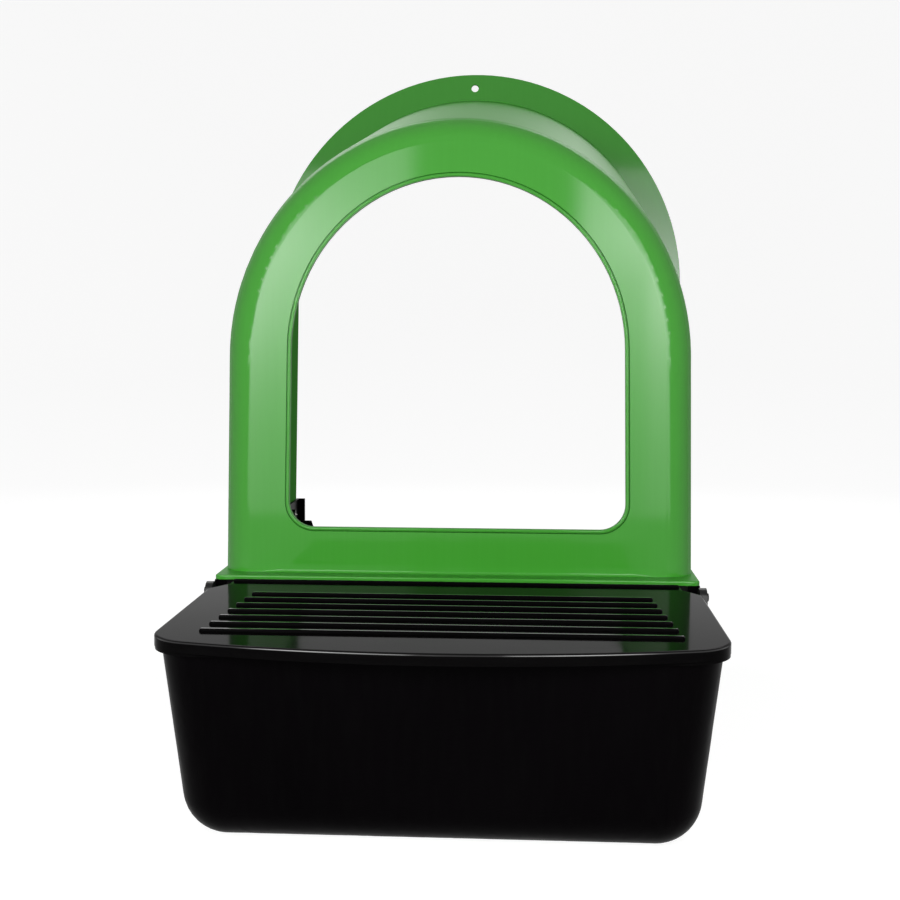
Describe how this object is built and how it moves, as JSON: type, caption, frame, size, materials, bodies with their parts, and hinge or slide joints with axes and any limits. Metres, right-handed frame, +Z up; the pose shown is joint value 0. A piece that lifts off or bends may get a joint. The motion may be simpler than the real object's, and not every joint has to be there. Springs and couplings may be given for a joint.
{
  "type": "chicken nest box",
  "caption": "Roll-away nest box: arched hood with a round-topped entrance on a drafted tub with a hinged, ribbed egg lid and a sloping perforated floor.",
  "frame": {"origin": "centre of the footprint (the whole box's bounding rectangle) on the underside of the tub", "axes": "+Z up; the entrance and the egg lid face -Y, the open back and its flange face +Y; +X to the right seen from the front"},
  "size_m": [0.4168, 0.579, 0.5639],
  "materials": {
    "hood_plastic": "glossy moulded polypropylene, leaf green",
    "base_plastic": "semi-gloss moulded polypropylene, black",
    "lid_plastic": "glossy moulded polypropylene, black",
    "floor_plastic": "fine-grained moulded polypropylene, black",
    "hinge_plastic": "moulded nylon, black",
    "screw_steel": "zinc-plated steel"
  },
  "bodies": {
    "base": {"hood": "hood_plastic", "base_tub": "base_plastic", "nest_floor": "floor_plastic", "hinge_clip_left": "hinge_plastic", "hinge_clip_right": "hinge_plastic", "hood_screws": "screw_steel"},
    "lid": {"egg_lid": "lid_plastic", "hinge_pin_left": "hinge_plastic", "hinge_pin_right": "hinge_plastic"}
  },
  "joints": [
    {"name": "lid_hinge", "type": "hinge", "parent": "base", "child": "lid", "pos_m": [0, -0.088, 0.1126], "axis": [-1, 0, 0], "range_deg": [0, 96]}
  ]
}
